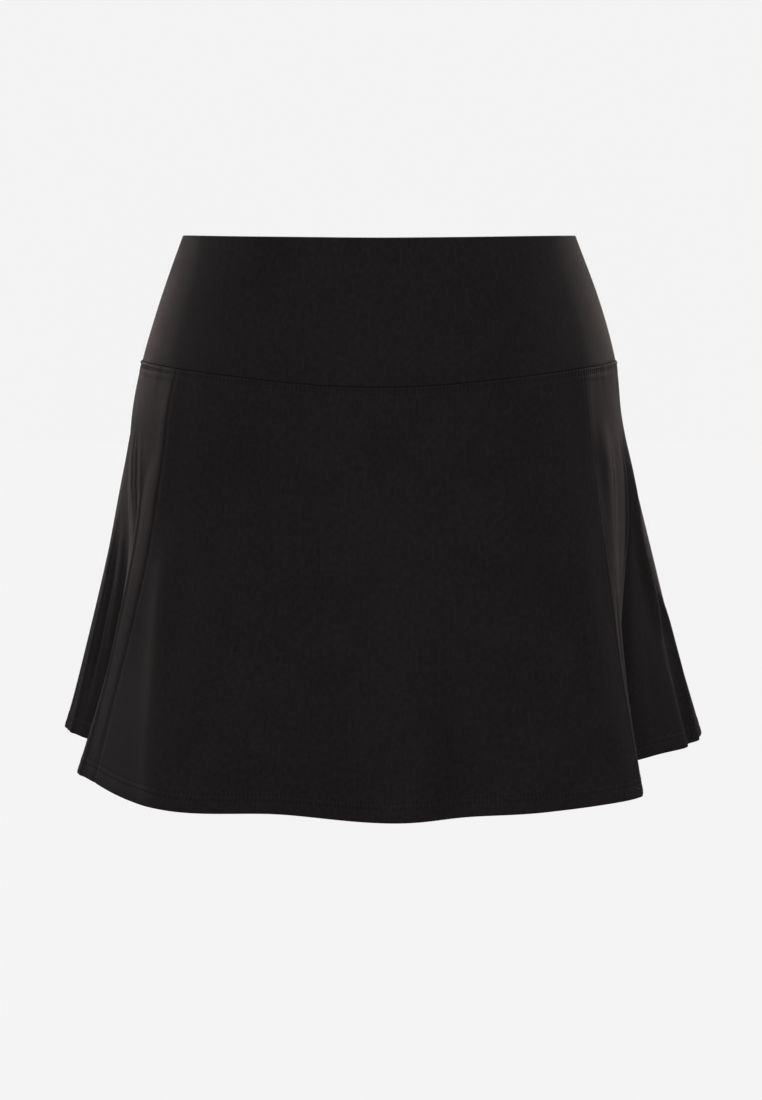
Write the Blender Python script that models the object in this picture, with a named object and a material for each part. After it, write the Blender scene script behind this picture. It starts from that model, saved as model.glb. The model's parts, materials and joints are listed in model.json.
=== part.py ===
"""Tennis skort at its real size, in metres, +Z up, with the front towards -Y.

A wide doubled yoke sits at the waist. Eight flared gores hang from it and fall into uneven flutes at
the hem, and plain inner shorts are sewn in under the yoke seam. The garment is hollow and filled out
as if worn. The origin is the centre of the waist opening, level with its top edge. Left and right are
the wearer's, so +X is left.
"""

import math
from bisect import bisect_right
from collections import namedtuple

import bmesh
import bpy
from mathutils import Vector

# Walls and gaps
SEAM_GAP = 0.0003
YOKE_WALL = 0.0024
GORE_WALL = 0.0015
SHORTS_WALL = 0.0012

# The yoke: its top edge dips a little at front and back, and so does its seam with the skirt
WAIST_DIP = 0.0015
YOKE_DEPTH_AT_SIDES = 0.083
YOKE_SEAM_DIP = 0.0125

# The skirt: cloth that leaves the figure curves away from it at this power of its fall
FLARE_POWER = 1.3

# The inner shorts
RISE_START = -0.150
CROTCH_HEIGHT = -0.270
SHORTS_HEM_HEIGHT = -0.345
LEG_HALF_WIDTH = 0.0727
LEG_PARTING = 0.0025
LEG_HALF_DEPTH = 0.078
SHORTS_EASE = GORE_WALL + SEAM_GAP
SHORTS_TAPER = 0.04

# How finely the cloth is divided
COLUMNS_PER_FOLD = 4
GORE_ROWS = 10
YOKE_COLUMNS = 22
YOKE_ROWS = 4
SHORTS_COLUMNS = 28
SHORTS_RISE_ROWS = 8
SHORTS_LEG_ROWS = 2
SHARP_DEGREES = 50
# Shares: how near 0 or 1 counts as a panel's edge, and of a column, how far apart slopes are taken
EDGE = 0.001
TANGENT_STEP = 0.125

# The figure that fills the yoke and the hips, one row for each height. Its middle leans aside a little.
Section = namedtuple("Section", "height lean half_width front back")
FIGURE = (
    Section(0.000, 0.0, 0.1305, 0.0940, 0.0970),
    Section(-0.045, 0.0, 0.1470, 0.1040, 0.1090),
    Section(-0.085, -0.0005, 0.1585, 0.1140, 0.1210),
    Section(-0.120, -0.0020, 0.1640, 0.1190, 0.1280),
    Section(-0.160, -0.0010, 0.1680, 0.1210, 0.1310),
    Section(-0.205, 0.0, 0.1690, 0.1220, 0.1300),
    Section(-0.380, 0.0, 0.1690, 0.1220, 0.1270),
)
SQUARENESS = 2.2

# The folds of the skirt, round from centre front by the wearer's left. Each row runs down from the
# angle "ring" on the yoke seam to the plan place hem_x, hem_y. The cloth is cut to "length" there,
# and it leaves the figure at "start", a share of that length. A row with a name in "gore" lies on a
# seam, and that gore starts there.
Fold = namedtuple("Fold", "name ring hem_x hem_y length start gore")
FOLDS = (
    Fold("centre wave", 4, 0.011, -0.158, 0.274, 0.30, ""),
    Fold("left front seam", 22, 0.055, -0.138, 0.274, 0.25, "side_front_left"),
    Fold("left front hollow", 42, 0.108, -0.132, 0.277, 0.20, ""),
    Fold("left front crest", 61.5, 0.1695, -0.094, 0.280, 0.20, "side_left"),
    Fold("left side hollow", 73, 0.160, -0.052, 0.278, 0.30, ""),
    Fold("left side valley", 82, 0.154, -0.018, 0.276, 0.32, ""),
    Fold("left side slope", 89, 0.187, 0.008, 0.273, 0.18, ""),
    Fold("left side rim", 96, 0.2135, 0.036, 0.276, 0.10, ""),
    Fold("left side crest", 106, 0.2250, 0.086, 0.280, 0.06, "side_back_left"),
    Fold("left back valley", 120, 0.168, 0.110, 0.278, 0.30, ""),
    Fold("left back crest", 134, 0.148, 0.168, 0.278, 0.22, ""),
    Fold("left back hollow", 146, 0.094, 0.146, 0.276, 0.30, ""),
    Fold("left back seam", 158, 0.056, 0.168, 0.276, 0.25, "centre_back"),
    Fold("centre back hollow", 179, 0.002, 0.150, 0.275, 0.35, ""),
    Fold("right back seam", 202, -0.066, 0.170, 0.276, 0.25, "side_back_right"),
    Fold("right back hollow", 214, -0.104, 0.144, 0.276, 0.30, ""),
    Fold("right back crest", 226, -0.152, 0.170, 0.278, 0.22, ""),
    Fold("right back valley", 239, -0.170, 0.120, 0.278, 0.30, ""),
    Fold("right side crest", 252, -0.2235, 0.108, 0.283, 0.00, "side_right"),
    Fold("right side rim", 262, -0.211, 0.070, 0.278, 0.05, ""),
    Fold("right side valley", 272, -0.158, 0.030, 0.276, 0.30, ""),
    Fold("right front edge", 286, -0.200, -0.020, 0.280, 0.33, ""),
    Fold("right front crest", 299, -0.191, -0.060, 0.279, 0.17, "side_front_right"),
    Fold("right front hollow", 319, -0.136, -0.134, 0.279, 0.22, ""),
    Fold("right front seam", 337, -0.063, -0.132, 0.2735, 0.08, "centre_front"),
)

CLOTH_COLOURS = {
    "doubled jersey": (0.0100, 0.0095, 0.0100),
    "skirt jersey": (0.0110, 0.0100, 0.0100),
    "shorts jersey": (0.0090, 0.0090, 0.0095),
}
CLOTH_ROUGHNESS = 0.72


def curve_through(knots, points):
    """Return a function that follows a smooth curve through the points, one at each knot."""
    last = len(knots) - 1

    def slope(index):
        before, after = max(index - 1, 0), min(index + 1, last)
        step = knots[after] - knots[before]
        return [(b - a) / step for a, b in zip(points[before], points[after])]

    slopes = [slope(index) for index in range(last + 1)]

    def at(knot):
        index = min(max(bisect_right(knots, knot) - 1, 0), last - 1)
        span = knots[index + 1] - knots[index]
        t = (knot - knots[index]) / span
        weights = (
            (1 + 2 * t) * (1 - t) ** 2,
            t * (1 - t) ** 2 * span,
            t * t * (3 - 2 * t),
            t * t * (t - 1) * span,
        )
        rows = (points[index], slopes[index], points[index + 1], slopes[index + 1])
        return [sum(w * row[c] for w, row in zip(weights, rows)) for c in range(len(rows[0]))]

    return at


def heights_upward(sections):
    """Sections from the lowest up, as knots and points for curve_through."""
    upward = sorted(sections, key=lambda section: section.height)
    return [section.height for section in upward], [section[1:] for section in upward]


figure_at = curve_through(*heights_upward(FIGURE))


def fold_curve():
    """Folds as a closed curve: fold number n is reached at turn n, and the list repeats round it."""
    count = len(FOLDS)
    knots, points = [], []
    for turn in range(-2, count + 3):
        fold = FOLDS[turn % count]
        knots.append(turn)
        points.append((fold.ring + 360 * (turn // count), *fold[2:6]))
    return curve_through(knots, points)


fold_at = fold_curve()


def lean(height):
    """How far the figure's middle sits to the left at a height."""
    return figure_at(height)[0]


def figure_point(degrees, height):
    """Point on the figure, at an angle counted from centre front towards the left."""
    middle, half_width, front, back = figure_at(height)
    sine, cosine = math.sin(math.radians(degrees)), math.cos(math.radians(degrees))
    half_depth = front if cosine > 0 else back
    reach = (abs(sine) / half_width) ** SQUARENESS + (abs(cosine) / half_depth) ** SQUARENESS
    radius = reach ** (-1 / SQUARENESS)
    return Vector((middle + radius * sine, -radius * cosine, height))


def dip(degrees):
    """1 at centre front and centre back, 0 at the sides."""
    return math.cos(math.radians(degrees)) ** 2


def yoke_seam_height(degrees):
    return -YOKE_DEPTH_AT_SIDES - YOKE_SEAM_DIP * dip(degrees)


def yoke_point(degrees, fall):
    """Point on the yoke's outside, from its top edge at fall 0 to its seam at fall 1."""
    top = -WAIST_DIP * dip(degrees)
    bottom = yoke_seam_height(degrees) + SEAM_GAP / 2
    return figure_point(degrees, top + (bottom - top) * fall)


def gore_point(turn, fall):
    """Point on the skirt's outside, from the yoke seam at fall 0 to the hem at fall 1."""
    ring, hem_x, hem_y, length, start = fold_at(turn)
    top = yoke_seam_height(ring) - SEAM_GAP / 2
    at_seam = figure_point(ring, top)
    run = math.hypot(hem_x - at_seam.x, hem_y - at_seam.y)
    hem_height = top - math.sqrt(length**2 - run**2)
    point = figure_point(ring, top + (hem_height - top) * fall)
    under_hips = figure_point(ring, hem_height)
    away = max(0.0, (fall - start) / (1 - start)) ** FLARE_POWER
    point.x += (hem_x - under_hips.x) * away
    point.y += (hem_y - under_hips.y) * away
    return point


def shorts_point(turn, height):
    """Point on the left half of the shorts: turn runs from -1 in front, round the outside, to 1.

    Above the rise it is half of the seat, and below the crotch it is one leg. Between them the two
    front and back ends close in on each other along the curve of the rise.
    """
    ease = SHORTS_EASE + SHORTS_TAPER * (-YOKE_DEPTH_AT_SIDES - height)
    middle = Vector((lean(height), 0.0, height))
    seat = figure_point(90 + 90 * turn, height)
    seat -= (seat - middle).normalized() * ease
    around = math.pi * turn
    below_crotch = max(0.0, (CROTCH_HEIGHT - height) / (CROTCH_HEIGHT - SHORTS_HEM_HEIGHT))
    leg_centre = SEAM_GAP / 2 + LEG_PARTING * below_crotch + LEG_HALF_WIDTH
    leg = Vector((
        middle.x + leg_centre + LEG_HALF_WIDTH * math.cos(around),
        LEG_HALF_DEPTH * math.sin(around),
        height,
    ))
    drop = min(max((RISE_START - height) / (RISE_START - CROTCH_HEIGHT), 0.0), 1.0)
    return seat.lerp(leg, 1 - math.sqrt(1 - drop * drop))


def shorts_height(turn, fall):
    """Height on the shorts, from their seam under the yoke at fall 0 to the leg hem at fall 1."""
    top = yoke_seam_height(90 + 90 * turn) - SEAM_GAP / 2
    rise_share = SHORTS_RISE_ROWS / (SHORTS_RISE_ROWS + SHORTS_LEG_ROWS)
    if fall > rise_share:
        leg_share = (fall - rise_share) / (1 - rise_share)
        return CROTCH_HEIGHT + (SHORTS_HEM_HEIGHT - CROTCH_HEIGHT) * leg_share
    rise = math.sin(fall / rise_share * math.pi / 2)
    return top + (CROTCH_HEIGHT - top) * rise


def level_along(point_at, turn, fall, step):
    """Level direction along the cloth. The way out of it is a quarter turn to the right."""
    along = point_at(turn + step, fall) - point_at(turn - step, fall)
    along.z = 0.0
    return along.normalized()


def cloth_slab(columns, rows):
    """A flat slab: x runs 0 to 1 across the cloth, y 0 to 1 down it and z 0 to 1 through it."""
    slab = bmesh.new()
    bmesh.ops.create_grid(slab, x_segments=columns, y_segments=rows, size=0.5)
    inside = bmesh.ops.extrude_face_region(slab, geom=slab.faces[:], use_keep_orig=True)["geom"]
    inside = [item for item in inside if isinstance(item, bmesh.types.BMVert)]
    bmesh.ops.translate(slab, verts=inside, vec=(0.0, 0.0, 1.0))
    bmesh.ops.translate(slab, verts=slab.verts, vec=(0.5, 0.5, 0.0))
    bmesh.ops.recalc_face_normals(slab, faces=slab.faces)
    return slab


def cloth_wall(name, point_at, turns, columns, rows, thickness, cloth):
    """Make one panel: a slab of cloth, wrapped on the form that point_at gives, clear of its seams."""
    first, last = turns
    step = (last - first) / columns * TANGENT_STEP
    wall = cloth_slab(columns, rows)
    for vertex in wall.verts:
        across, fall, depth = vertex.co
        turn = first + (last - first) * across
        along = level_along(point_at, turn, fall, step)
        out = Vector((along.y, -along.x, 0.0))
        vertex.co = point_at(turn, fall) - out * thickness * depth
        if across < EDGE:
            vertex.co += along * SEAM_GAP / 2
        elif across > 1 - EDGE:
            vertex.co -= along * SEAM_GAP / 2
    return finish_piece(name, wall, cloth)


def finish_piece(name, wall, cloth):
    """Turn the finished bmesh into a named object with its own cloth material."""
    mesh = bpy.data.meshes.new(name)
    wall.to_mesh(mesh)
    wall.free()
    mesh.shade_smooth()
    mesh.set_sharp_from_angle(angle=math.radians(SHARP_DEGREES))
    mesh.materials.append(cloth_material(name, cloth))
    piece = bpy.data.objects.new(name, mesh)
    bpy.context.scene.collection.objects.link(piece)
    return piece


def cloth_material(name, cloth):
    material = bpy.data.materials.new(name + " " + cloth)
    material.use_nodes = True
    shader = material.node_tree.nodes["Principled BSDF"]
    shader.inputs["Base Color"].default_value = (*CLOTH_COLOURS[cloth], 1.0)
    shader.inputs["Roughness"].default_value = CLOTH_ROUGHNESS
    shader.inputs["Metallic"].default_value = 0.0
    return material


def clear_scene():
    for thing in list(bpy.data.objects):
        bpy.data.objects.remove(thing, do_unlink=True)


def make_yoke():
    for name, turns in (("yoke_front", (-90, 90)), ("yoke_back", (90, 270))):
        cloth_wall(name, yoke_point, turns, YOKE_COLUMNS, YOKE_ROWS, YOKE_WALL, "doubled jersey")


def make_gores():
    """One gore from each seam fold to the next, named by the fold that it starts from."""
    seams = [turn for turn, fold in enumerate(FOLDS) if fold.gore]
    for first, last in zip(seams, seams[1:] + [seams[0] + len(FOLDS)]):
        columns = (last - first) * COLUMNS_PER_FOLD
        name = FOLDS[first].gore
        cloth_wall(name, gore_point, (first, last), columns, GORE_ROWS, GORE_WALL, "skirt jersey")


def left_leg_point(turn, fall):
    return shorts_point(turn, shorts_height(turn, fall))


def right_leg_point(turn, fall):
    """The left leg mirrored, and run from back to front so that its outside stays on the right."""
    point = left_leg_point(-turn, fall)
    point.x = 2 * lean(point.z) - point.x
    return point


def make_shorts():
    rows = SHORTS_RISE_ROWS + SHORTS_LEG_ROWS
    for name, point_at in (("shorts_left", left_leg_point), ("shorts_right", right_leg_point)):
        cloth_wall(name, point_at, (-1, 1), SHORTS_COLUMNS, rows, SHORTS_WALL, "shorts jersey")


def main():
    clear_scene()
    make_yoke()
    make_gores()
    make_shorts()


main()
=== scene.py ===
"""Tennis skort in smooth black stretch jersey: the cloth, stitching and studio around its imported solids.

Metres, +Z up, front towards -Y, +X to the wearer's left. The origin is the centre of the waist
opening. The panels lie on the same form as the solids: a figure that fills the yoke and the hips,
and a table of folds for the skirt.
"""

import json
import math
from collections import namedtuple

import bmesh
import bpy
import numpy as np
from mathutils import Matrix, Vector

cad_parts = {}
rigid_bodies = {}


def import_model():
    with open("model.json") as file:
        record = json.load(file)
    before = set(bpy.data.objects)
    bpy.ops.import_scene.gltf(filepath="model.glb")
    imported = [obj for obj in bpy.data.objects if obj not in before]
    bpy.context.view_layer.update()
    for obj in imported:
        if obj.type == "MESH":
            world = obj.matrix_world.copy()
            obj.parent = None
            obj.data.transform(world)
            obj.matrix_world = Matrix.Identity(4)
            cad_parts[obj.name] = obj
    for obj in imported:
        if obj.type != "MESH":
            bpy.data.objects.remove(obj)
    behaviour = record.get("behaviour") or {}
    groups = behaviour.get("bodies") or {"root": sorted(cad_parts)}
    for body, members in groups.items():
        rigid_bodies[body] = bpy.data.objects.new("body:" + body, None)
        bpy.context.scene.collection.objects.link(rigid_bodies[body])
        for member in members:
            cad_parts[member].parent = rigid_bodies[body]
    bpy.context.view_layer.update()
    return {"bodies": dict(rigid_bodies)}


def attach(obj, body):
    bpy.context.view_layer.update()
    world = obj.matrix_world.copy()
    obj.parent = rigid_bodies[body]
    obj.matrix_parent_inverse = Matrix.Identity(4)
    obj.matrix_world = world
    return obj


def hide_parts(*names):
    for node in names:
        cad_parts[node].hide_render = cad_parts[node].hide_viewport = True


bl_info = {
    "name": "Tennis Skort",
    "version": (1, 0, 0),
    "blender": (4, 5, 0),
    "location": "3D View > Sidebar > Skort",
    "description": "Makes the jersey panels, stitching and studio of a tennis skort",
    "category": "Object",
}

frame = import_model()
BODY = next(iter(frame["bodies"]))


# The form, as the solids have it
YOKE_WALL = 0.0024
WAIST_DIP = 0.0015
YOKE_DEPTH_AT_SIDES = 0.083
YOKE_SEAM_DIP = 0.0125
FLARE_POWER = 1.3
RISE_START = -0.150
CROTCH_HEIGHT = -0.270
SHORTS_HEM_HEIGHT = -0.345
LEG_HALF_WIDTH = 0.0727
LEG_PARTING = 0.0025
LEG_HALF_DEPTH = 0.078
SHORTS_EASE = 0.0018
SHORTS_TAPER = 0.04
RISE_SHARE = 0.8
LEG_LENGTH = CROTCH_HEIGHT - SHORTS_HEM_HEIGHT

# In these panels only: each half of the shorts laps past the rise, so no light comes through its seam
SHORTS_LAP = 0.0005

# Rough girths and falls of the panels, by which the rows and columns of their grids are spaced
YOKE_HALF_GIRTH = 0.44
HEM_TO_A_TURN = 0.0574
SKIRT_FALL = 0.277
SHORTS_HALF_GIRTH = 0.44
SHORTS_FALL = 0.30

# Steps across and down a form between which its normals are taken
YOKE_STEPS = (0.3, 0.01)
SKIRT_STEPS = (0.02, 0.004)
SHORTS_STEPS = (0.004, 0.004)
JOIN_STEPS = (0.3, 0.1)

# The figure that fills the yoke and the hips, one row for each height. Its middle leans aside a little.
Section = namedtuple("Section", "height lean half_width front back")
FIGURE = (
    Section(-0.380, 0.0, 0.1690, 0.1220, 0.1270),
    Section(-0.205, 0.0, 0.1690, 0.1220, 0.1300),
    Section(-0.160, -0.0010, 0.1680, 0.1210, 0.1310),
    Section(-0.120, -0.0020, 0.1640, 0.1190, 0.1280),
    Section(-0.085, -0.0005, 0.1585, 0.1140, 0.1210),
    Section(-0.045, 0.0, 0.1470, 0.1040, 0.1090),
    Section(0.000, 0.0, 0.1305, 0.0940, 0.0970),
)
SQUARENESS = 2.2

# The folds of the skirt, round from centre front by the wearer's left. Each row runs down from the
# angle "ring" on the yoke seam to the plan place hem_x, hem_y. The cloth is cut to "length" there,
# and it leaves the figure at "start", a share of that length. A row with a name in "gore" lies on a
# seam, and that gore starts there.
Fold = namedtuple("Fold", "name ring hem_x hem_y length start gore")
FOLDS = (
    Fold("centre wave", 4, 0.011, -0.158, 0.274, 0.30, ""),
    Fold("left front seam", 22, 0.055, -0.138, 0.274, 0.25, "side_front_left"),
    Fold("left front hollow", 42, 0.108, -0.132, 0.277, 0.20, ""),
    Fold("left front crest", 61.5, 0.1695, -0.094, 0.280, 0.20, "side_left"),
    Fold("left side hollow", 73, 0.160, -0.052, 0.278, 0.30, ""),
    Fold("left side valley", 82, 0.154, -0.018, 0.276, 0.32, ""),
    Fold("left side slope", 89, 0.187, 0.008, 0.273, 0.18, ""),
    Fold("left side rim", 96, 0.2135, 0.036, 0.276, 0.10, ""),
    Fold("left side crest", 106, 0.2250, 0.086, 0.280, 0.06, "side_back_left"),
    Fold("left back valley", 120, 0.168, 0.110, 0.278, 0.30, ""),
    Fold("left back crest", 134, 0.148, 0.168, 0.278, 0.22, ""),
    Fold("left back hollow", 146, 0.094, 0.146, 0.276, 0.30, ""),
    Fold("left back seam", 158, 0.056, 0.168, 0.276, 0.25, "centre_back"),
    Fold("centre back hollow", 179, 0.002, 0.150, 0.275, 0.35, ""),
    Fold("right back seam", 202, -0.066, 0.170, 0.276, 0.25, "side_back_right"),
    Fold("right back hollow", 214, -0.104, 0.144, 0.276, 0.30, ""),
    Fold("right back crest", 226, -0.152, 0.170, 0.278, 0.22, ""),
    Fold("right back valley", 239, -0.170, 0.120, 0.278, 0.30, ""),
    Fold("right side crest", 252, -0.2235, 0.108, 0.283, 0.00, "side_right"),
    Fold("right side rim", 262, -0.211, 0.070, 0.278, 0.05, ""),
    Fold("right side valley", 272, -0.158, 0.030, 0.276, 0.30, ""),
    Fold("right front edge", 286, -0.200, -0.020, 0.280, 0.33, ""),
    Fold("right front crest", 299, -0.191, -0.060, 0.279, 0.17, "side_front_right"),
    Fold("right front hollow", 319, -0.136, -0.134, 0.279, 0.22, ""),
    Fold("right front seam", 337, -0.063, -0.132, 0.2735, 0.08, "centre_front"),
)

# Finer creases in the skirt, soft ridges where height is above 0 and troughs below it. Each path
# runs down the cloth as pairs of fold number and share of the fall.
Crease = namedtuple("Crease", "name path width height")
CREASES = (
    Crease("right seam ridge", ((22.00, -0.10), (22.00, 0.20), (22.04, 0.50)), 0.0120, 0.0017),
    Crease("right seam trough", ((22.00, -0.25), (22.02, 0.25), (22.00, 0.72), (22.08, 1.0)),
           0.0019, -0.0005),
    Crease("right front ridge", ((22.24, 0.30), (22.36, 0.50), (22.58, 0.76), (22.88, 1.0)),
           0.0115, 0.0032),
    Crease("right fold edge", ((21.10, 0.12), (21.26, 0.33), (21.46, 0.54), (21.56, 0.76), (21.66, 1.0)),
           0.0022, 0.0010),
    Crease("right hip trough", ((20.96, 0.14), (21.02, 0.30), (21.26, 0.46)), 0.0024, -0.0009),
    Crease("right hip ridge", ((20.74, 0.12), (20.78, 0.30), (21.16, 0.48)), 0.0020, 0.0009),
    Crease("right back flute edge", ((18.44, 0.30), (18.46, 0.60), (18.44, 1.0)), 0.0028, -0.0012),
    Crease("right back flute ridge", ((19.08, 0.30), (18.90, 0.50), (18.80, 0.72), (18.76, 1.0)),
           0.0024, 0.0015),
    Crease("right back flute line", ((19.16, 0.42), (19.04, 0.66), (18.97, 0.98)), 0.0024, -0.0022),
    Crease("right back flute fold", ((19.34, 0.38), (19.28, 0.62), (19.24, 0.90)), 0.0034, 0.0012),
    Crease("left seam ridge", ((3.00, -0.14), (3.00, 0.14), (3.02, 0.41)), 0.0120, 0.0016),
    Crease("left front ridge", ((2.72, 0.28), (2.66, 0.50), (2.70, 0.76), (2.76, 1.0)), 0.0100, 0.0020),
    Crease("left fold edge", ((3.02, 0.34), (3.06, 0.60), (3.02, 1.0)), 0.0014, 0.0004),
    Crease("left fold hollow", ((3.24, 0.44), (3.18, 0.70), (3.12, 1.0)), 0.0030, -0.0010),
    Crease("left hip fold", ((3.50, 0.08), (3.48, 0.30), (3.38, 0.44), (3.22, 0.60)), 0.0090, 0.0018),
    Crease("left hip ridge", ((3.84, 0.16), (3.78, 0.28), (3.58, 0.38), (3.38, 0.52)), 0.0018, 0.0006),
    Crease("left hip outer ridge", ((4.66, 0.10), (4.60, 0.30), (4.52, 0.46), (4.00, 0.62)),
           0.0024, 0.0014),
    Crease("left side trough", ((5.30, 0.08), (5.20, 0.26), (5.16, 0.42), (5.20, 0.60), (5.30, 1.0)),
           0.0062, -0.0064),
    Crease("left flute ridge",
           ((5.76, 0.10), (5.82, 0.28), (6.06, 0.42), (6.66, 0.58), (7.02, 0.72), (7.02, 1.0)),
           0.0068, 0.0046),
    Crease("left flute rim", ((7.34, 0.54), (7.36, 0.66), (7.36, 0.80), (7.34, 1.0)), 0.0034, 0.0028),
    Crease("left flute hollow", ((6.90, 0.38), (7.00, 0.56), (7.05, 0.70), (7.11, 1.0)), 0.0062, -0.0060),
    Crease("front seam pull", ((23.93, 0.34), (23.95, 0.46), (23.98, 0.62)), 0.0040, -0.0006),
    Crease("left back drape", ((9.30, 0.18), (9.45, 0.46), (9.62, 0.80)), 0.0050, -0.0012),
    Crease("left back ridge", ((9.90, 0.12), (10.00, 0.40), (10.08, 0.75)), 0.0044, 0.0010),
    Crease("left back fold line", ((10.46, 0.30), (10.58, 0.64), (10.62, 1.0)), 0.0030, 0.0008),
    Crease("centre back trough", ((13.30, 0.30), (13.22, 0.60), (13.26, 1.0)), 0.0085, -0.0011),
    Crease("centre back pull", ((12.60, 0.06), (12.72, 0.24), (12.90, 0.44)), 0.0034, 0.0006),
    Crease("right back drape", ((15.55, 0.16), (15.40, 0.50), (15.46, 0.86)), 0.0056, -0.0011),
    Crease("right back ridge", ((16.30, 0.10), (16.12, 0.36), (16.06, 0.66)), 0.0046, 0.0009),
    Crease("right back outer trough", ((17.10, 0.20), (17.22, 0.48), (17.18, 0.84)), 0.0050, -0.0010),
)

# A crease rises and dies away over these shares of its run. Its width is this share of the stated
# one at the yoke seam, and grows by the other down to the hem.
CREASE_RISE = 0.35
CREASE_END = 0.45
CREASE_WIDTH_AT_SEAM = 0.75
CREASE_WIDENING = 0.5

# Slow unevenness of the hanging cloth: how many waves go round the skirt and down it, and their
# height. They reach it at WAVE_RISE, a share of the fall.
Wave = namedtuple("Wave", "round_waves down_waves shift height")
WAVES = (
    Wave(8, 0.9, 0.4, 0.00028),
    Wave(-15, 1.6, 2.1, 0.00022),
    Wave(29, -2.3, 4.0, 0.00014),
    Wave(5, 2.9, 1.3, 0.00012),
)
WAVE_RISE = 0.3

# Small puckers that the yoke seam's stitches draw in the skirt's top
PUCKERS = (Wave(47, 0, 0.3, 0.00016), Wave(78, 0, 2.2, 0.00011), Wave(31, 0, 4.1, 0.00014))
PUCKER_REACH = 0.009

# Soft ridges that the sewing raises along the gore seams, between the hem's two rows, and over the
# hem's turning. The last is highest at a share of the way from the edge up to the lower row.
Ridge = namedtuple("Ridge", "width height")
SEAM_RIDGE = Ridge(0.0032, 0.00012)
HEM_RIDGE = Ridge(0.0012, 0.00024)
TURNING_RIDGE = Ridge(0.0034, 0.00026)
TURNING_SHARE = 0.45

# The welt below the yoke seam, and the groove of a row of stitches
WELT_PLACE = 0.0013
WELT_WIDTH = 0.0009
GROOVE_WIDTH = 0.00042

# A folded edge is rounded over this share of its radius, and the second layer of a turning thins out
# over this step
EDGE_ROUND = 0.98
TURNING_STEP = 0.0006

# How much the allowance behind a gore seam, and the ones below the yoke seam, lift the cloth over them
ALLOWANCE_LIFT = 0.00008
ALLOWANCE_LIFT_START = 0.001
ALLOWANCE_LIFT_FADE = 0.0022
JOIN_LIFT = 0.00026
JOIN_LIFT_END = 0.0094
JOIN_LIFT_FADE = 0.0030

# The yoke: its slow waves, and the ripples that the seam draws in its lower edge. Its lower edge
# sinks less than the skirt's top, and its inner face less than its outer one.
YOKE_WAVE_HEIGHT = 0.00022
YOKE_RIPPLE_HEIGHT = 0.00016
YOKE_RIPPLE_REACH = 0.012
YOKE_EDGE_SINK = 0.8
YOKE_INNER_SINK = 0.6


def length_setting(name, description, default):
    return bpy.props.FloatProperty(
        name=name, description=description, default=default, unit="LENGTH", precision=5)


def power_setting(name, description, default):
    return bpy.props.FloatProperty(name=name, description=description, default=default, unit="POWER")


def colour_setting(name, description, default):
    return bpy.props.FloatVectorProperty(
        name=name, description=description, default=default, subtype="COLOR", size=3)


class SkortSizes(bpy.types.PropertyGroup):
    """Sizes of the cloth and its stitching."""

    skirt_cloth: length_setting("Skirt cloth", "Thickness of one layer of the skirt's jersey", 0.00095)
    shorts_cloth: length_setting("Shorts cloth", "Thickness of one layer of the shorts' jersey", 0.00080)
    seam_roll: length_setting("Seam roll", "Width over which a panel rolls into its seam", 0.0010)
    seam_sink: length_setting("Seam sink", "Depth of the groove along a seam", 0.00012)
    allowance: length_setting(
        "Seam allowance", "Width of the overlocked allowance inside each seam", 0.0065)
    join_roll: length_setting(
        "Yoke seam roll", "Height over which the cloth rolls into the yoke seam", 0.0009)
    join_sink: length_setting("Yoke seam sink", "Depth of the groove along the yoke seam", 0.0006)
    join_welt: length_setting(
        "Yoke seam welt", "How far the skirt stands proud below the yoke seam", 0.00050)
    join_row: length_setting(
        "Yoke seam stitching", "Depth of the upper row of stitches below the yoke seam", 0.0016)
    join_gauge: length_setting(
        "Yoke seam gauge", "Distance between the two rows below the yoke seam", 0.0028)
    hem_turn: length_setting(
        "Hem turning", "Depth of the cloth turned up inside the skirt's hem", 0.0134)
    hem_row: length_setting(
        "Hem stitching", "Height of the lower row of stitches above the hem's edge", 0.0084)
    hem_gauge: length_setting("Hem gauge", "Distance between the two rows of a hem", 0.0038)
    leg_turn: length_setting(
        "Leg turning", "Depth of the cloth turned up inside the shorts' legs", 0.0170)
    leg_row: length_setting(
        "Leg stitching", "Height of the lower row of stitches above the legs' edge", 0.0115)
    stitch: length_setting("Stitch length", "Length of one stitch", 0.0026)
    stitch_sink: length_setting(
        "Stitch sink", "Depth of the groove that a row of stitches pulls in", 0.00008)
    thread: length_setting("Thread", "Diameter of the sewing thread", 0.00034)


class SkortCloth(bpy.types.PropertyGroup):
    """Colours and surface of the jersey and the thread."""

    yoke_colour: colour_setting(
        "Yoke colour", "Colour of the doubled jersey of the yoke", (0.0106, 0.0092, 0.0100))
    skirt_colour: colour_setting(
        "Skirt colour", "Colour of the skirt's jersey", (0.0110, 0.0094, 0.0103))
    shorts_colour: colour_setting(
        "Shorts colour", "Colour of the inner shorts' jersey", (0.0098, 0.0088, 0.0095))
    thread_colour: colour_setting(
        "Thread colour", "Colour of the sewing thread", (0.0115, 0.0098, 0.0107))
    sheen: bpy.props.FloatProperty(
        name="Sheen", description="Strength of the soft sheen where the cloth turns away",
        default=0.008, subtype="FACTOR")
    sheen_colour: colour_setting("Sheen colour", "Colour of the sheen", (1.0, 0.72, 0.66))
    wale: length_setting("Wale", "Width of one column of knitted loops", 0.00080)
    course: length_setting("Course", "Height of one row of knitted loops", 0.00064)


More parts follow.
